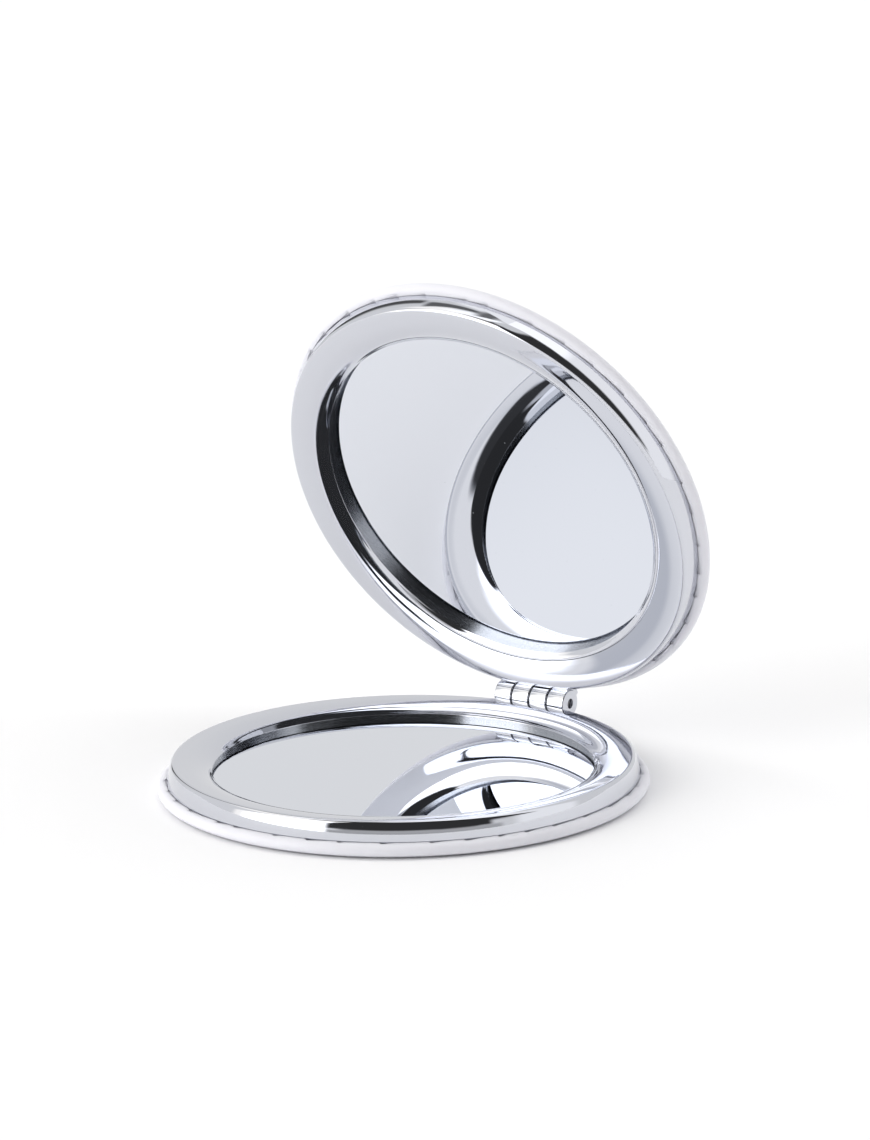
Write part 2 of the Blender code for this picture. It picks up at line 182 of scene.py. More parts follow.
# %% [markdown]
# The mirrors are thin float glass, 1.3 mm, silvered and painted on the back. Float glass is the flattest
# thing in the object, so it gets no bump at all. What shows that it is glass is a little dust on it.

# %% Mirror glass
def silvered_glass():
    """Float glass silvered on its back: a flat, clear reflection with a trace of dust."""
    material, tree, shader = new_material("silvered float glass", "DEE1E8", 0.0, 1.0)
    place = object_coordinates(tree)
    dust = add_node(tree, "ShaderNodeTexVoronoi", {"feature": "F1"}, {"Scale": 1 / (2.4 * MM)},
                    {"Vector": place})
    specks = between(tree, dust.outputs["Distance"], 0.25, 0.0, 0.02, 0.05)
    smears = between(tree, noise(tree, place, 14 * MM, detail=3), 0.0, 0.012, 0.5, 0.8)
    film = add_node(tree, "ShaderNodeMath", {"operation": "ADD"}, links={0: specks, 1: smears})
    tree.links.new(film.outputs["Value"], shader.inputs["Roughness"])
    return material


glass = silvered_glass()
print("made", glass.name)

# %% [markdown]
# The covers are white PU leatherette: knitted backing with a skin of polyurethane that was cast on
# embossed paper. The paper leaves a fine pebble grain, and the skin has a soft sheen, more on the grain's
# tops than in its valleys.

# %% Leatherette
def ramp(tree, value, first, last, start=0.0, end=1.0):
    """Runs from one linear colour to another as a pattern rises."""
    node = add_node(tree, "ShaderNodeValToRGB", links={"Fac": value})
    for element, position, colour in zip(node.color_ramp.elements, (start, end), (first, last)):
        element.position = position
        element.color = colour
    return node.outputs["Color"]


def scaled_light(colour, share):
    """A linear colour with only a share of its light."""
    return tuple(channel * share for channel in colour[:3]) + (1.0,)


def leatherette():
    """White PU leatherette with an embossed pebble grain and a soft sheen."""
    material, tree, shader = new_material("white PU leatherette", "EAEAEF", 0.5, 0.0)
    place = object_coordinates(tree)
    cells = add_node(tree, "ShaderNodeTexVoronoi", {"feature": "SMOOTH_F1"}, {"Scale": 1 / (0.5 * MM)},
                     {"Vector": place}).outputs["Distance"]
    wrinkles = noise(tree, place, 0.9 * MM, detail=4)
    mottle = noise(tree, place, 5 * MM, detail=5)
    tree.links.new(ramp(tree, mottle, linear("E5E5EC"), linear("EEEEF4")), shader.inputs["Base Color"])
    tree.links.new(between(tree, cells, 0.42, 0.6, 0.1, 0.7), shader.inputs["Roughness"])
    grain = add_node(tree, "ShaderNodeBump", {"invert": True}, {"Strength": 0.25, "Distance": 0.02 * MM},
                     {"Height": cells})
    creases = relief(tree, wrinkles, 0.03 * MM, 0.35, under=grain.outputs["Normal"])
    tree.links.new(creases, shader.inputs["Normal"])
    shader.inputs["Coat Weight"].default_value = 0.15
    shader.inputs["Coat Roughness"].default_value = 0.3
    return material


white_leatherette = leatherette()
print("made", white_leatherette.name)

# %% [markdown]
# Round the silvered face the glass has a ground edge. The silvering runs up it, so it mirrors too, but in
# rough streaks. The ring's pocket is plated but was never polished, because no wheel gets into it. Both show
# only as a narrow soft line under the lip, dark or bright by what they face.

# %% Silvered edge and unpolished pocket
def streaked_metal(name, colour, low, high, streak, depth):
    """Metal that was ground or cast and left so: rough, with fine streaks and small specks."""
    material, tree, shader = new_material(name, colour, high, 1.0)
    place = object_coordinates(tree)
    streaks = noise(tree, place, streak, detail=4)
    tree.links.new(between(tree, streaks, low, high), shader.inputs["Roughness"])
    specks = noise(tree, place, streak / 3, detail=3)
    speckled = ramp(tree, specks, scaled_light(linear(colour), 0.5), linear(colour), 0.35, 0.55)
    tree.links.new(speckled, shader.inputs["Base Color"])
    tree.links.new(relief(tree, streaks, depth), shader.inputs["Normal"])
    return material


glass_edge = streaked_metal("silvered ground edge", "B9BCC1", 0.12, 0.26, 0.16 * MM, 0.0015 * MM)
pocket_zinc = streaked_metal("plated unpolished zinc", "C8CACF", 0.15, 0.28, 0.2 * MM, 0.002 * MM)
print("made", glass_edge.name, "and", pocket_zinc.name)

# %% [markdown]
# The inner pieces hardly show, but each still gets the finish of its making. Sheet steel is rolled, so its
# fine lines run one way. Wire is drawn through a die, so the pin's lines run along it. Nickel on a magnet
# comes out of a tumbling barrel, mottled rather than lined. Foam and foam tape are a froth of cells.

# %% Inner finishes
LINE_CONTRAST = 0.12          # how far the roughness goes up and down with the lines


def lined_metal(name, colour, roughness, line_size, stretch):
    """Metal with fine lines from rolling or drawing, along the axis that is stretched least."""
    material, tree, shader = new_material(name, colour, roughness, 1.0)
    place = object_coordinates(tree)
    lines = noise(tree, place, line_size, detail=4, stretch=stretch)
    stains = noise(tree, place, 6 * MM, detail=3)
    lined = between(tree, lines, roughness - LINE_CONTRAST, roughness + LINE_CONTRAST)
    tree.links.new(lined, shader.inputs["Roughness"])
    stained = ramp(tree, stains, scaled_light(linear(colour), 0.8), linear(colour))
    tree.links.new(stained, shader.inputs["Base Color"])
    tree.links.new(relief(tree, lines, 0.002 * MM, 0.4), shader.inputs["Normal"])
    return material


def froth(name, colour, shade, cell_size):
    """Foam: cells with painted shade in their hollows, and a soft, uneven surface."""
    material, tree, shader = new_material(name, colour, 0.9, 0.0)
    place = object_coordinates(tree)
    cells = add_node(tree, "ShaderNodeTexVoronoi", {"feature": "F1"}, {"Scale": 1 / cell_size},
                     {"Vector": place}).outputs["Distance"]
    # painted shade: the hollow middle of each cell gets the darker shade colour, as if light reached it less
    tree.links.new(ramp(tree, cells, linear(shade), linear(colour)), shader.inputs["Base Color"])
    tree.links.new(between(tree, noise(tree, place, 3 * MM), 0.8, 1.0), shader.inputs["Roughness"])
    tree.links.new(relief(tree, cells, cell_size / 3, 0.6), shader.inputs["Normal"])
    return material


inner_finishes = {
    "mirror_tape": froth("white foam tape", "E9E7DC", "CFCCBE", 0.15 * MM),
    "cover_plate": lined_metal("tinned sheet steel", "B9BABF", 0.38, 0.3 * MM, (0.05, 1, 1)),
    "magnet": lined_metal("nickel-plated magnet", "C6C0B2", 0.3, 0.4 * MM, (1, 1, 1)),
}
pin_wire = lined_metal("drawn steel wire", "A2A2A6", 0.32, 0.12 * MM, (0.04, 1, 1))
pad_foam = froth("polyurethane foam", "ECEBE4", "C9C7BC", 0.4 * MM)
print("made", ", ".join(finish.name for finish in [*inner_finishes.values(), pin_wire, pad_foam]))

# %% [markdown]
# The ring is the main piece. On the real mirror it is a zinc casting, turned and polished, so its shape is
# one section swept round a circle. The face falls gently from its ridge and bends down ever more steeply to
# the lip over the glass. Polished metal shows each change of slope, so this part is given as slopes, and the
# depths follow from them.

# %% Section of the ring
BAND_RADIUS = 33.7 * MM
BAND_DEPTH = 3.0 * MM
BAND_ROUNDING = 0.2 * MM
SHOULDER_RADIUS = 33.15 * MM
SHOULDER_ROUNDING = 0.7 * MM
RIDGE_DEPTH = 0.15 * MM
SLOPES = [                    # radius in mm, and the slope down to the mirror there in degrees
    (32.45, 3), (31.0, 5), (30.2, 9.5), (29.6, 13.5), (29.05, 16),
    (28.85, 19), (28.4, 21.5), (28.0, 28), (27.6, 40), (27.25, 45),
]
SLOPE_STEPS = 5
SHOULDER_STEPS = 24
LIP_STEPS = 4
EDGE_STEPS = 5
LIP_RADIUS = 27.15 * MM
LIP_ROUNDING = 0.1 * MM
POCKET_RADIUS = 29.1 * MM
POCKET_DEPTH = 1.77 * MM
SEAT_DEPTH = 3.5 * MM
GROOVE_INNER_RADIUS = 29.9 * MM
GROOVE_OUTER_RADIUS = 31.9 * MM
GROOVE_DEPTH = 1.9 * MM


def arc(centre, radii, start, end, steps):
    """Points (radius, depth) on an ellipse, both ends included. 0 degrees is outwards, 90 is up."""
    points = []
    for step in range(steps + 1):
        angle = math.radians(start + (end - start) * step / steps)
        points.append((centre[0] + radii[0] * math.cos(angle), centre[1] - radii[1] * math.sin(angle)))
    return points


def run_of_slopes(start):
    """Points (radius, depth) from a start inwards, each slope leading smoothly over to the next."""
    points = [start]
    for (radius, slope), (next_radius, next_slope) in zip(SLOPES, SLOPES[1:]):
        for step in range(1, SLOPE_STEPS + 1):
            here = (radius + (next_radius - radius) * step / SLOPE_STEPS) * MM
            middle_slope = slope + (next_slope - slope) * (step - 0.5) / SLOPE_STEPS
            width = points[-1][0] - here
            points.append((here, points[-1][1] + width * math.tan(math.radians(middle_slope))))
    return points


def ring_section():
    """The ring's outline, from the top of the side band over the face and back under it."""
    centre = (SHOULDER_RADIUS - SHOULDER_ROUNDING, RIDGE_DEPTH + SHOULDER_ROUNDING)
    flare = math.degrees(math.atan2(BAND_RADIUS - SHOULDER_RADIUS, BAND_DEPTH - centre[1]))
    shoulder = arc(centre, (SHOULDER_ROUNDING, SHOULDER_ROUNDING), flare, 90 + SLOPES[0][1],
                   SHOULDER_STEPS)
    face = run_of_slopes(shoulder[-1])
    lip_depth = face[-1][1]
    lip = arc((LIP_RADIUS + LIP_ROUNDING, lip_depth + LIP_ROUNDING), (LIP_ROUNDING, LIP_ROUNDING),
              90 + SLOPES[-1][1], 180, LIP_STEPS)
    underside = [(LIP_RADIUS, POCKET_DEPTH), (POCKET_RADIUS, POCKET_DEPTH), (POCKET_RADIUS, SEAT_DEPTH),
                 (GROOVE_INNER_RADIUS, SEAT_DEPTH), (GROOVE_INNER_RADIUS, GROOVE_DEPTH),
                 (GROOVE_OUTER_RADIUS, GROOVE_DEPTH), (GROOVE_OUTER_RADIUS, BAND_DEPTH)]
    foot = arc((BAND_RADIUS - BAND_ROUNDING, BAND_DEPTH - BAND_ROUNDING), (BAND_ROUNDING, BAND_ROUNDING),
               -90, 0, EDGE_STEPS)
    return [*shoulder, *face[1:-1], *lip, *underside, *foot]


print("points in the ring's section:", len(ring_section()))

# %% [markdown]
# Turned pieces are all made by one small Geometry Nodes tree. It takes a section drawn as a flat curve and
# sweeps it round a circle, as a form tool does on a lathe. Spin in mesh code would do the same, but here
# the number of segments stays an input that can be changed later. The result is turned into a plain mesh.

# %% Lathe
SWEEP_RADIUS = 20 * MM
MERGE_DISTANCE = 0.0005 * MM


def named_input(tree, name, kind):
    """Adds an input to a Geometry Nodes tree."""
    return tree.interface.new_socket(name, in_out="INPUT", socket_type=kind)


def lathe_tree():
    """Sweeps the object's own curve, drawn as radius and depth, once round the Z axis."""
    tree = bpy.data.node_groups.new("lathe", "GeometryNodeTree")
    named_input(tree, "Section", "NodeSocketGeometry")
    named_input(tree, "Segments", "NodeSocketInt")
    named_input(tree, "Finish", "NodeSocketMaterial")
    tree.interface.new_socket("Piece", in_out="OUTPUT", socket_type="NodeSocketGeometry")
    given = add_node(tree, "NodeGroupInput").outputs
    moved = add_node(tree, "GeometryNodeTransform", values={"Translation": (-SWEEP_RADIUS, 0, 0)},
                     links={"Geometry": given["Section"]})
    circle = add_node(tree, "GeometryNodeCurvePrimitiveCircle", values={"Radius": SWEEP_RADIUS},
                      links={"Resolution": given["Segments"]})
    swept = add_node(tree, "GeometryNodeCurveToMesh",
                     links={"Curve": circle.outputs["Curve"], "Profile Curve": moved.outputs["Geometry"]})
    closed = add_node(tree, "GeometryNodeMergeByDistance", values={"Distance": MERGE_DISTANCE},
                      links={"Geometry": swept.outputs["Mesh"]})
    real = add_node(tree, "GeometryNodeRealizeInstances", links={"Geometry": closed.outputs["Geometry"]})
    finished = add_node(tree, "GeometryNodeSetMaterial",
                        links={"Geometry": real.outputs["Geometry"], "Material": given["Finish"]})
    add_node(tree, "NodeGroupOutput", links={"Piece": finished.outputs["Geometry"]})
    return tree


lathe = lathe_tree()
print("nodes in the lathe:", len(lathe.nodes))

# %% [markdown]
# To turn a piece, its section goes in as a curve and comes out as a plain mesh, because a mesh is what the
# later steps cut and what the finished model keeps. Points that fall together on the axis are merged, and
# edges sharper than an angle stay sharp, so that flat faces look flat and round ones look round.

# %% Turn a piece
RING_SEGMENTS = 512


def set_inputs(modifier, values):
    """Gives a Geometry Nodes modifier its inputs, each found by its socket's identifier."""
    for item in modifier.node_group.interface.items_tree:
        if item.in_out == "INPUT" and item.name in values:
            modifier[item.identifier] = values[item.name]


def evaluated_mesh(thing):
    """The mesh that an object's modifiers make, after which the object itself is removed."""
    bpy.context.view_layer.update()
    mesh = bpy.data.meshes.new_from_object(thing.evaluated_get(bpy.context.evaluated_depsgraph_get()))
    bpy.data.objects.remove(thing, do_unlink=True)
    return mesh


def smooth(mesh, sharp_angle=30):
    """Points a closed mesh's faces outwards and shades it smooth up to an angle."""
    shape = bmesh.new()
    shape.from_mesh(mesh)
    bmesh.ops.remove_doubles(shape, verts=shape.verts, dist=MERGE_DISTANCE)
    bmesh.ops.recalc_face_normals(shape, faces=shape.faces)
    shape.to_mesh(mesh)
    shape.free()
    mesh.shade_smooth()
    mesh.set_sharp_from_angle(angle=math.radians(sharp_angle))
    return mesh


def turned(name, section, segments, finish, closed=True):
    """A piece off the lathe, as a mesh about the Z axis."""
    curve = bpy.data.curves.new(name, "CURVE")
    curve.dimensions = "2D"
    spline = curve.splines.new("POLY")
    spline.points.add(len(section) - 1)
    for point, (radius, depth) in zip(spline.points, section):
        point.co = (radius, depth, 0, 1)
    spline.use_cyclic_u = closed
    blank = bpy.data.objects.new(name, curve)
    bpy.context.scene.collection.objects.link(blank)
    modifier = blank.modifiers.new("lathe", "NODES")
    modifier.node_group = lathe
    set_inputs(modifier, {"Segments": segments, "Finish": finish})
    mesh = evaluated_mesh(blank)
    mesh.name = name
    return smooth(mesh)


def at_disc_centre(mesh):
    """Moves a turned mesh from the hinge axis to the middle of its half."""
    mesh.transform(Matrix.Translation((0, -HINGE_REACH, 0)))
    return mesh


ring_blank = at_disc_centre(turned("ring", ring_section(), RING_SEGMENTS, chrome))
print("ring:", len(ring_blank.polygons), "faces")

# %% [markdown]
# The hinge knuckles are cast on the ring. Each is a short round bar on a foot that reaches in to the side
# band, and a small gap parts it from its neighbour. The bars come off the same lathe as the ring and are
# laid along the hinge axis.

# %% Hinge knuckles
BARREL_RADIUS = 2.1 * MM
BARREL_ROUNDING = 0.2 * MM
KNUCKLE_PITCH = 3.09 * MM
KNUCKLE_GAP = 0.15 * MM
KNUCKLE_COUNT = 4
RUNNING_GAP = 0.2 * MM
SIDE_GAP = 0.1 * MM
END_GAP = 0.3 * MM
FOOT_REACH = 2.4 * MM
FOOT_TOP_DEPTH = 0.3 * MM
FOOT_BOTTOM_DEPTH = 2.7 * MM
PIN_RADIUS = 0.7 * MM
PIN_CLEARANCE = 0.05 * MM
PIN_ROUNDING = 0.15 * MM
BARREL_HALF_LENGTH = (KNUCKLE_COUNT * KNUCKLE_PITCH - KNUCKLE_GAP) / 2
BARREL_SEGMENTS = 64
BORE_SEGMENTS = 32
BORE_OVERRUN = 1 * MM


def rod(name, radius, start, end, rounding, segments=BARREL_SEGMENTS):
    """A round bar along the hinge axis, with rounded ends."""
    length = end - start
    rounded = (rounding, rounding)
    near = arc((radius - rounding, rounding), rounded, 90, 0, EDGE_STEPS)
    far = arc((radius - rounding, length - rounding), rounded, 0, -90, EDGE_STEPS)
    mesh = turned(name, [(0, 0), *near, *far, (0, length)], segments, chrome, closed=False)
    mesh.transform(Matrix.Translation((start, 0, 0)) @ Matrix.Rotation(math.radians(-90), 4, "Y"))
    return mesh


def foot(start, end):
    """The web that carries a knuckle on the ring."""
    shape = bmesh.new()
    bmesh.ops.create_cube(shape, size=1)
    low = Vector((start + BARREL_ROUNDING, -FOOT_REACH, -FOOT_BOTTOM_DEPTH))
    high = Vector((end - BARREL_ROUNDING, 0, -FOOT_TOP_DEPTH))
    bmesh.ops.transform(shape, matrix=Matrix.Diagonal((*(high - low), 1)), verts=shape.verts)
    bmesh.ops.translate(shape, vec=(low + high) / 2, verts=shape.verts)
    mesh = bpy.data.meshes.new("foot")
    shape.to_mesh(mesh)
    shape.free()
    return mesh


def knuckle_spans(first):
    """Ends of every other knuckle along X, counted from the given one."""
    spans = []
    for index in range(first, KNUCKLE_COUNT, 2):
        start = (index - KNUCKLE_COUNT / 2) * KNUCKLE_PITCH + KNUCKLE_GAP / 2
        spans.append((start, start + KNUCKLE_PITCH - KNUCKLE_GAP))
    return spans


print("barrel length:", round(2 * BARREL_HALF_LENGTH / MM, 2), "mm")

# %% [markdown]
# Each ring carries two of the four knuckles, and it is cut back where its partner's two turn. Booleans do
# that as a toolmaker would: first the reliefs are cut, then knuckles and their feet are joined on, and last
# the bore for the pin runs through all. The pocket under the lip gets its own, rougher finish.

# %% Join the knuckles to the ring
POCKET_TOLERANCE = 0.02 * MM


def combined(base, tools, operation):
    """The mesh left when each tool in turn is joined to the base mesh, or cut from it."""
    body = bpy.data.objects.new("body", base)
    bpy.context.scene.collection.objects.link(body)
    cutters = []
    for tool in tools:
        cutter = bpy.data.objects.new("cutter", tool)
        bpy.context.scene.collection.objects.link(cutter)
        modifier = body.modifiers.new("cut", "BOOLEAN")
        modifier.operation = operation
        modifier.object = cutter
        cutters.append(cutter)
    mesh = evaluated_mesh(body)
    for cutter in cutters:
        bpy.data.objects.remove(cutter, do_unlink=True)
    return mesh


def refinished(mesh, finish, chosen):
    """Gives the faces whose middle and normal pass a test another finish."""
    mesh.materials.append(finish)
    for polygon in mesh.polygons:
        if chosen(polygon.center, polygon.normal):
            polygon.material_index = len(mesh.materials) - 1
    return mesh


def in_pocket(middle, normal):
    """Whether a face of the ring lies in its pocket, where no polishing wheel gets."""
    radius = math.hypot(middle.x, middle.y + HINGE_REACH)
    return radius < POCKET_RADIUS + POCKET_TOLERANCE and middle.z < -POCKET_DEPTH + POCKET_TOLERANCE


reliefs = []
for start, end in knuckle_spans(1):
    outer_gap = END_GAP if end > BARREL_HALF_LENGTH - KNUCKLE_GAP else SIDE_GAP
    reliefs.append(rod("relief", BARREL_RADIUS + RUNNING_GAP, start - SIDE_GAP, end + outer_gap,
                       BARREL_ROUNDING))
knuckles = []
for start, end in knuckle_spans(0):
    knuckles += [rod("knuckle", BARREL_RADIUS, start, end, BARREL_ROUNDING), foot(start, end)]
bore_end = BARREL_HALF_LENGTH + BORE_OVERRUN
bore = rod("bore", PIN_RADIUS + PIN_CLEARANCE, -bore_end, bore_end, PIN_ROUNDING, BORE_SEGMENTS)
relieved = combined(ring_blank, reliefs, "DIFFERENCE")
carrying = combined(relieved, knuckles, "UNION")
ring_mesh = smooth(combined(carrying, [bore], "DIFFERENCE"))
refinished(ring_mesh, pocket_zinc, in_pocket)
print("ring with its knuckles:", len(ring_mesh.polygons), "faces")

# %% [markdown]
# A mirror reflects at the silver on its back, not at its front. So the lip stands clear above its own
# reflection, with a dark line between them where one looks in at the glass's edge. Glass bends light, which
# makes the silver seem less deep, and the more so the flatter one looks. The clear glass is left out here,
# and the silvered face alone stands for both. Its depth, one for each half, was chosen so that the lip's
# reflection falls about where the photograph has it.

# %% Mirrors
MIRROR_RADIUS = 28.9 * MM
MIRROR_FRONT_DEPTH = 1.87 * MM
MIRROR_BACK_DEPTH = 3.17 * MM
GROUND_EDGE_RADIUS = 27.4 * MM
SILVER_DEPTHS = {"lower": 2.45 * MM, "upper": 3.1 * MM}
SILVER_TOLERANCE = 0.1 * MM
FACING_UP = 0.5               # a normal's upward share, from which a face counts as lying flat
MIRROR_SEGMENTS = 192


def mirror_section(silver_depth):
    """Silvered face, the ground edge round it and the painted back."""
    face = [(0, silver_depth), (GROUND_EDGE_RADIUS, silver_depth)]
    edge = [(GROUND_EDGE_RADIUS, MIRROR_FRONT_DEPTH), (MIRROR_RADIUS, MIRROR_FRONT_DEPTH)]
    return [*face, *edge, (MIRROR_RADIUS, MIRROR_BACK_DEPTH), (0, MIRROR_BACK_DEPTH)]


def ground_edge_test(silver_depth):
    """A test that finds every face of a mirror but its silvered one."""
    def is_ground(middle, normal):
        return normal.z < FACING_UP or middle.z > -silver_depth + SILVER_TOLERANCE
    return is_ground


mirror_meshes = {}
for side in places:
    depth = SILVER_DEPTHS[side]
    blank = turned("mirror", mirror_section(depth), MIRROR_SEGMENTS, glass, closed=False)
    refinished(blank, glass_edge, ground_edge_test(depth))
    mirror_meshes[side] = at_disc_centre(blank)
    print(side, "mirror:", len(blank.polygons), "faces")

# %% [markdown]
# The leatherette is thin sheet, wrapped over a foam pad and a steel disc and turned in under the ring. Its
# rim is a soft bead. Where it goes under the ring, the spare length of the sheet is laid in small pleats.

# %% Section of the leatherette cover
COVER_RADIUS = 35.0 * MM
COVER_THICKNESS = 0.55 * MM
BEAD_HALF_WIDTH = 1.15 * MM
BEAD_HALF_HEIGHT = 0.95 * MM
BEAD_CENTRE_DEPTH = 3.85 * MM
BAND_GROOVE = 0.04 * MM
FLAP_INNER_RADIUS = 31.2 * MM
FLAP_DEPTH = 3.1 * MM
FLAP_THICKNESS = 0.3 * MM
CROWN_HEIGHT = 0.7 * MM
REST_FLAT_DEPTH = 0.5 * MM
CROWN_STEPS = 14
BEAD_STEPS = 28
INNER_BEAD_STEPS = 12
INNER_BEAD_START = 60         # degrees, where the bead's inside leaves the flap
BEAD_CENTRE_RADIUS = COVER_RADIUS - BEAD_HALF_WIDTH
RIM_DEPTH = BEAD_CENTRE_DEPTH + BEAD_HALF_HEIGHT


def crown(radius, pressed_flat):
    """How deep the padded face lies at a radius, flat in the middle where it is pressed."""
    bulge = CROWN_HEIGHT * (1 - (radius / BEAD_CENTRE_RADIUS) ** 2)
    if pressed_flat:
        bulge = min(bulge, CROWN_HEIGHT - REST_FLAT_DEPTH)
    return RIM_DEPTH + bulge


def cover_section(pressed_flat):
    """Crowned face, padded rim and turned-in flap, and back along the inside."""
    centre = (BEAD_CENTRE_RADIUS, BEAD_CENTRE_DEPTH)
    radii = [BEAD_CENTRE_RADIUS * step / CROWN_STEPS for step in range(CROWN_STEPS)]
    face = [(radius, crown(radius, pressed_flat)) for radius in radii]
    bead_inner = BAND_RADIUS + BAND_GROOVE
    turn = math.degrees(math.acos((bead_inner - BEAD_CENTRE_RADIUS) / BEAD_HALF_WIDTH))
    bead = arc(centre, (BEAD_HALF_WIDTH, BEAD_HALF_HEIGHT), -90, turn, BEAD_STEPS)
    flap_back = FLAP_DEPTH + FLAP_THICKNESS
    flap = [(bead_inner, FLAP_DEPTH), (FLAP_INNER_RADIUS, FLAP_DEPTH), (FLAP_INNER_RADIUS, flap_back),
            (bead_inner, flap_back)]
    inner_radii = (BEAD_HALF_WIDTH - COVER_THICKNESS, BEAD_HALF_HEIGHT - COVER_THICKNESS)
    inner_bead = arc(centre, inner_radii, INNER_BEAD_START, -90, INNER_BEAD_STEPS)
    inner_face = [(radius, crown(radius, pressed_flat) - COVER_THICKNESS) for radius in reversed(radii)]
    return [*face, *bead, *flap, *inner_bead, *inner_face]


print("points in a cover's section:", len(cover_section(True)))

# %% [markdown]
# The pleats repeat round the rim, so a second Geometry Nodes tree lays them. In each pleat the sheet sinks
# slowly and then springs back where it is folded over its neighbour. The angle is wavered a little by a
# noise that is read round the circle, so that the spacing looks hand-laid but still closes.

# %% Pleats
PLEAT_COUNT = 40
PLEAT_WIDTH = 0.26 * MM       # how far a fold stands off the ring
PLEAT_DEPTH = 0.16 * MM       # how far it sinks
PLEAT_REACH = 0.5 * MM        # how far from the seam it fades out
PLEAT_WAVER = 1.6             # how many pleats' width the spacing wavers by
PLEAT_SHARPNESS = 3.0         # the higher, the shorter the fold and the longer the plain stretch
WAVER_SCALE = 6.0
SEAM_RADIUS = 33.8 * MM
SEAM_DEPTH = 2.95 * MM


def math_node(tree, operation, first, second=0.0):
    """The result of one sum. Each side is a number or another node's output."""
    values = {}
    links = {}
    for index, side in enumerate((first, second)):
        (values if isinstance(side, (int, float)) else links)[index] = side
    return add_node(tree, "ShaderNodeMath", {"operation": operation}, values, links).outputs["Value"]


def long_side(tree, across, up):
    """The length of the slanting side of a right triangle."""
    squares = [math_node(tree, "MULTIPLY", side, side) for side in (across, up)]
    return math_node(tree, "SQRT", math_node(tree, "ADD", *squares))


def pleat_tree():
    """Sinks the sheet in pleats round a seam. The piece lies about the Z axis, upper side up."""
    tree = bpy.data.node_groups.new("pleats", "GeometryNodeTree")
    named_input(tree, "Sheet", "NodeSocketGeometry")
    for name in ("Count", "Width", "Depth", "Reach", "Seam Radius", "Seam Depth", "Waver"):
        named_input(tree, name, "NodeSocketFloat")
    named_input(tree, "Finish", "NodeSocketMaterial")
    tree.interface.new_socket("Piece", in_out="OUTPUT", socket_type="NodeSocketGeometry")
    given = add_node(tree, "NodeGroupInput").outputs
    position = add_node(tree, "GeometryNodeInputPosition").outputs["Position"]
    split = add_node(tree, "ShaderNodeSeparateXYZ", links={"Vector": position}).outputs
    radius = long_side(tree, split["X"], split["Y"])
    turn = math_node(tree, "DIVIDE", math_node(tree, "ARCTAN2", split["Y"], split["X"]), math.tau)
    flat = add_node(tree, "ShaderNodeCombineXYZ", links={"X": split["X"], "Y": split["Y"]})
    round_circle = add_node(tree, "ShaderNodeVectorMath", {"operation": "NORMALIZE"},
                            links={0: flat.outputs["Vector"]})
    waver = add_node(tree, "ShaderNodeTexNoise", values={"Scale": WAVER_SCALE, "Detail": 1.0},
                     links={"Vector": round_circle.outputs["Vector"]}).outputs["Fac"]
    pleats = math_node(tree, "MULTIPLY", turn, given["Count"])
    wavered = math_node(tree, "ADD", pleats, math_node(tree, "MULTIPLY", waver, given["Waver"]))
    along = math_node(tree, "FRACT", wavered)
    sink = math_node(tree, "POWER", math_node(tree, "SUBTRACT", 1.0, along), PLEAT_SHARPNESS)
    out_of_seam = math_node(tree, "SUBTRACT", radius, given["Seam Radius"])
    below_seam = math_node(tree, "ADD", split["Z"], given["Seam Depth"])
    distance = long_side(tree, out_of_seam, below_seam)
    fading = add_node(tree, "ShaderNodeMapRange", {"interpolation_type": "SMOOTHSTEP"},
                      {"From Min": 0.0, "To Min": 1.0, "To Max": 0.0},
                      {"Value": distance, "From Max": given["Reach"]}).outputs["Result"]
    share = math_node(tree, "MULTIPLY", sink, fading)
    push = math_node(tree, "MULTIPLY", share, given["Width"])
    outward = add_node(tree, "ShaderNodeVectorMath", {"operation": "SCALE"},
                       links={0: round_circle.outputs["Vector"], "Scale": push})
    drop = math_node(tree, "MULTIPLY", share, math_node(tree, "MULTIPLY", given["Depth"], -1.0))
    downward = add_node(tree, "ShaderNodeCombineXYZ", links={"Z": drop})
    offset = add_node(tree, "ShaderNodeVectorMath", {"operation": "ADD"},
                      links={0: outward.outputs["Vector"], 1: downward.outputs["Vector"]})
    pleated = add_node(tree, "GeometryNodeSetPosition",
                       links={"Geometry": given["Sheet"], "Offset": offset.outputs["Vector"]})
    real = add_node(tree, "GeometryNodeRealizeInstances", links={"Geometry": pleated.outputs["Geometry"]})
    finished = add_node(tree, "GeometryNodeSetMaterial",
                        links={"Geometry": real.outputs["Geometry"], "Material": given["Finish"]})
    add_node(tree, "NodeGroupOutput", links={"Piece": finished.outputs["Geometry"]})
    return tree


pleats = pleat_tree()
print("nodes in the pleats:", len(pleats.nodes))

# %% [markdown]
# The pleats are laid on the turned cover before it is moved to its place, while its axis is still Z. The two
# covers differ only in their crown: the lower one is pressed flat where the mirror rests on the table.

# %% Covers
SEGMENTS_PER_PLEAT = 20
COVER_SEGMENTS = PLEAT_COUNT * SEGMENTS_PER_PLEAT
FOLD_ANGLE = 50               # degrees, above which the sheet's edges stay sharp


def pleated(mesh, finish):
    """The cover's mesh with its pleats laid."""
    blank = bpy.data.objects.new("pleated", mesh)
    bpy.context.scene.collection.objects.link(blank)
    modifier = blank.modifiers.new("pleats", "NODES")
    modifier.node_group = pleats
    set_inputs(modifier, {"Count": float(PLEAT_COUNT), "Width": PLEAT_WIDTH, "Depth": PLEAT_DEPTH,
                          "Reach": PLEAT_REACH, "Seam Radius": SEAM_RADIUS, "Seam Depth": SEAM_DEPTH,
                          "Waver": PLEAT_WAVER, "Finish": finish})
    return smooth(evaluated_mesh(blank), FOLD_ANGLE)


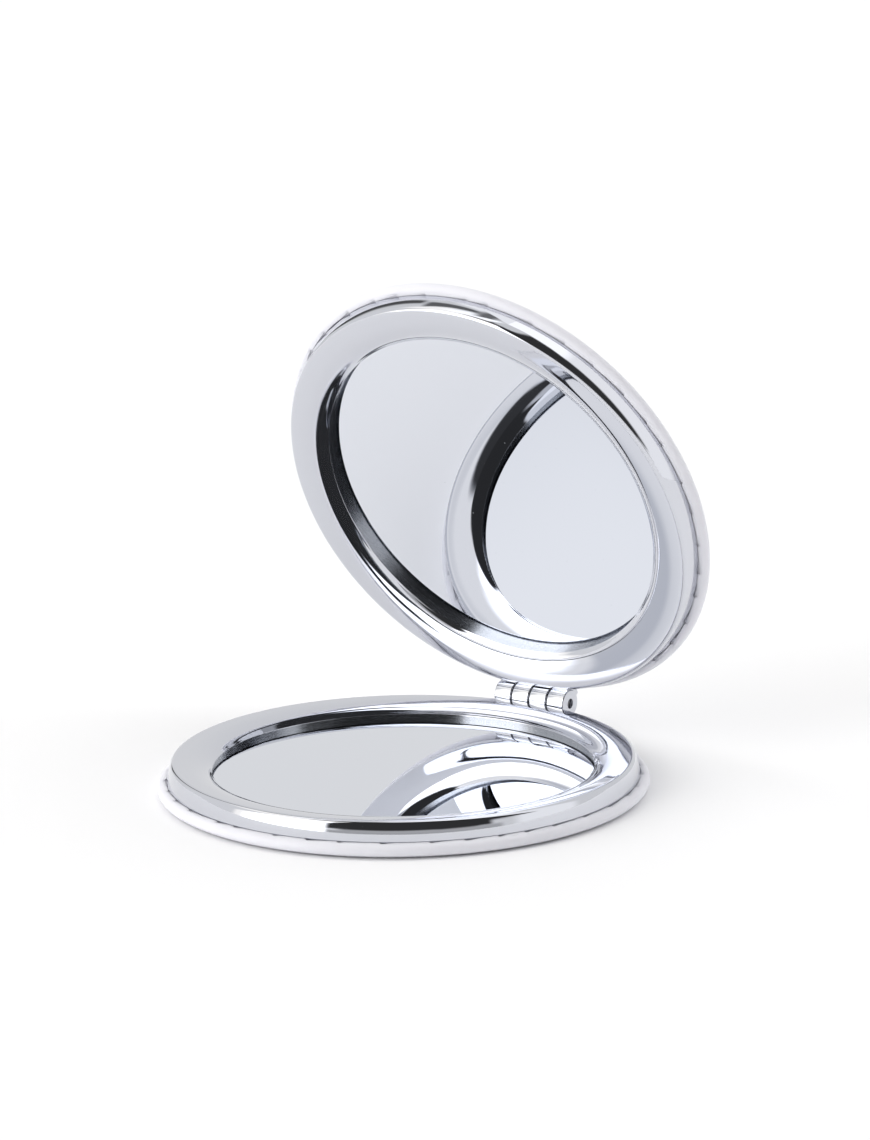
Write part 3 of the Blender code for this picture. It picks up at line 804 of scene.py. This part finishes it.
cover_meshes = {}
for side in places:
    sheet = turned("cover", cover_section(side == "lower"), COVER_SEGMENTS, white_leatherette, closed=False)
    cover_meshes[side] = at_disc_centre(pleated(sheet, white_leatherette))
    print(side, "cover:", len(cover_meshes[side].polygons), "faces")

# %% [markdown]
# The foam disc under the leatherette is cut flat and takes the crown's shape when the cover is pulled tight.

# %% Foam discs
FOAM_RADIUS = 32.5 * MM
FOAM_DEPTH = 4.05 * MM
FOAM_SEGMENTS = 128
LAYER_GAP = 0.1 * MM


def foam_section(pressed_flat):
    """Flat against the plate, crowned against the leatherette."""
    inset = COVER_THICKNESS + LAYER_GAP
    radii = [FOAM_RADIUS * step / CROWN_STEPS for step in range(CROWN_STEPS + 1)]
    face = [(radius, crown(radius, pressed_flat) - inset) for radius in radii]
    return [*face, (FOAM_RADIUS, FOAM_DEPTH), (0, FOAM_DEPTH)]


foam_meshes = {}
for side in places:
    disc = turned("foam", foam_section(side == "lower"), FOAM_SEGMENTS, pad_foam, closed=False)
    foam_meshes[side] = at_disc_centre(disc)
    print(side, "foam:", len(foam_meshes[side].polygons), "faces")

# %% [markdown]
# The upper half is the lower half turned over, so one mesh serves both wherever the two are alike. Each
# piece is moved to its half, rides on that half's body and stands for its CAD node. The inner pieces stay as
# the CAD has them.

# %% Place the pieces
def piece(name, mesh, side, slot, *nodes):
    """Adds a finished mesh as a piece of one half, standing for the CAD nodes named."""
    mesh = mesh.copy()
    mesh.transform(places[side])
    thing = bpy.data.objects.new(name, mesh)
    bpy.context.scene.collection.objects.link(thing)
    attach(thing, bodies[side])
    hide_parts(*nodes)
    return thing


def finish_node(name, finish):
    """Gives a piece of the CAD model its finish."""
    mesh = bpy.data.objects[name].data
    mesh.materials.clear()
    mesh.materials.append(finish)


for side in places:
    piece(f"{side}_chrome_ring", ring_mesh, side, "chrome", f"{side}_frame")
    cover = piece(f"{side}_leatherette_cover", cover_meshes[side], side, "leatherette", f"{side}_cover")
    foam = piece(f"{side}_foam_disc", foam_meshes[side], side, "foam", f"{side}_cover_foam")
    piece(f"{side}_silvered_mirror", mirror_meshes[side], side, "mirror", f"{side}_mirror")
    print("placed the", side, "half in", bodies[side])
    for name, finish in inner_finishes.items():
        finish_node(f"{side}_{name}", finish)
finish_node("hinge_pin", pin_wire)
print("finished inner pieces:", 2 * len(inner_finishes) + 1)

# %% [markdown]
# The floor is a sheet of matt white paper, wide enough to reach the backdrop in every view. A rougher or
# darker floor would show up in the chrome.

# %% Stage
FLOOR_REACH = 3000 * MM

scene = bpy.context.scene
scene.view_settings.view_transform = "Standard"
floor_mesh = bpy.data.meshes.new("floor")
corners = [(x * FLOOR_REACH, y * FLOOR_REACH, 0) for x, y in ((-1, -1), (1, -1), (1, 1), (-1, 1))]
floor_mesh.from_pydata(corners, [], [(0, 1, 2, 3)])
floor = bpy.data.objects.new("studio_floor", floor_mesh)
scene.collection.objects.link(floor)
floor_mesh.materials.append(new_material("matt white paper", "FBFBFC", 0.9, 0.0)[0])
print("the floor is", 2 * FLOOR_REACH, "m wide")

# %% [markdown]
# The light is a white tent with a large soft box to the left of the camera and another one high at the
# back. The camera's side of the tent is open, and the room behind it is dark: bright metal is drawn by what
# it doesn't reflect. All of it is painted on the sky by direction, in a table of panels. Azimuth is 0
# straight in front of the mirror and grows to its right. A later panel lies over an earlier one.

# %% Panels of light
TENT_LIGHT = 0.85
BACKDROP_LIGHT = 1.05         # as the camera sees it
DIFFUSE_LIFT = 1.43           # how much more light falls on paper and leatherette than metal reflects
WHITE = "FFFFFF"
WARM = "FFFCF6"
PANELS = [
    # name, left, right, bottom, top, lean to the left per degree of height, softness, light, colour
    ("left wall", -97, -46, -10, 44, 0.0, 5, 0.9, WHITE),
    ("left wall, upper part", -97, -46, 44, 66, 0.0, 5, 1.4, WARM),
    ("right wall", 90, 125, -10, 66, 0.0, 4, 1.15, WHITE),
    ("soft box", -54, 3, -10, 60, -0.17, 2, 1.4, WARM),
    ("soft box, bright lower part", -47, 2, -12, 40, -0.17, 4, 3.0, WHITE),
    ("dark above the soft box", -46, 4, 60, 82, 0.0, 2, 0.06, WHITE),
    ("open front", -3, 70, 5, 80, 0.0, 2, 0.04, WHITE),
    ("open front, right", 50, 105, 11, 80, 0.27, 2, 0.04, WHITE),
    ("open front, low on the right", 50, 77, 5, 16, 0.0, 2, 0.04, WHITE),
    ("gap beside the soft box", -127, -120, 4, 50, -0.28, 2, 0.1, WHITE),
    ("table edge", -3, 82, -4, 5, 0.0, 2, 0.5, WHITE),
    ("high box on the left", -92, -47, 62, 87, 0.0, 3, 1.55, WHITE),
    ("high box at the back", 88, 181, 62, 91, 0.0, 3, 1.5, WHITE),
    ("high box past the back", -181, -116, 62, 91, 0.0, 3, 1.2, WHITE),
    ("gap between the high boxes", -110, -97, 52, 76, 0.0, 2, 0.15, WHITE),
    ("gap between the high boxes, top", -124, -74, 76, 85, 0.0, 3, 0.2, WHITE),
]
print("panels of light:", len(PANELS))

# %% [markdown]
# The sky's shader reads the direction of a ray as azimuth and height, and each panel is a soft-edged patch
# of the two. The camera itself sees a plain bright backdrop. Matt pieces get more light than metal does, as
# from small lamps overhead that no polished face happens to show.

# %% Sky
def panel_mask(tree, angle, left, right, softness):
    """1 between two angles and 0 outside them, with soft edges."""
    rising = add_node(tree, "ShaderNodeMapRange", {"interpolation_type": "SMOOTHSTEP"},
                      {"From Min": left - softness, "From Max": left + softness}, {"Value": angle})
    falling = add_node(tree, "ShaderNodeMapRange", {"interpolation_type": "SMOOTHSTEP"},
                       {"From Min": right - softness, "From Max": right + softness, "To Min": 1.0,
                        "To Max": 0.0}, {"Value": angle})
    return math_node(tree, "MULTIPLY", rising.outputs["Result"], falling.outputs["Result"])


def studio_sky():
    """The tent with its panels, as light from each direction."""
    world = bpy.data.worlds.new("studio")
    world.use_nodes = True
    tree = world.node_tree
    background = tree.nodes["Background"]
    direction = add_node(tree, "ShaderNodeTexCoord").outputs["Generated"]
    split = add_node(tree, "ShaderNodeSeparateXYZ", links={"Vector": direction}).outputs
    forward = math_node(tree, "MULTIPLY", split["Y"], -1.0)
    azimuth = math_node(tree, "MULTIPLY", math_node(tree, "ARCTAN2", split["X"], forward),
                        math.degrees(1))
    height = math_node(tree, "MULTIPLY", math_node(tree, "ARCSINE", split["Z"]), math.degrees(1))
    light = None
    for name, left, right, bottom, top, lean, softness, strength, colour in PANELS:
        leaning = math_node(tree, "ADD", azimuth, math_node(tree, "MULTIPLY", height, lean))
        mask = math_node(tree, "MULTIPLY", panel_mask(tree, leaning, left, right, softness),
                         panel_mask(tree, height, bottom, top, softness))
        panel = add_node(tree, "ShaderNodeMix", {"label": name, "data_type": "RGBA"},
                         links={"Factor": mask})
        panel.inputs["A"].default_value = scaled_light(linear(WHITE), TENT_LIGHT)
        panel.inputs["B"].default_value = scaled_light(linear(colour), strength)
        if light:
            tree.links.new(light, panel.inputs["A"])
        light = panel.outputs["Result"]
    ray = add_node(tree, "ShaderNodeLightPath").outputs
    lifted = add_node(tree, "ShaderNodeMapRange", values={"To Min": 1.0, "To Max": DIFFUSE_LIFT},
                      links={"Value": ray["Is Diffuse Ray"]}).outputs["Result"]
    seen = add_node(tree, "ShaderNodeMix", {"data_type": "RGBA"},
                    links={"Factor": ray["Is Camera Ray"], "A": light})
    seen.inputs["B"].default_value = scaled_light(linear(WHITE), BACKDROP_LIGHT)
    tree.links.new(seen.outputs["Result"], background.inputs["Color"])
    tree.links.new(lifted, background.inputs["Strength"])
    return world


scene.world = studio_sky()
print("nodes in the sky:", len(scene.world.node_tree.nodes))
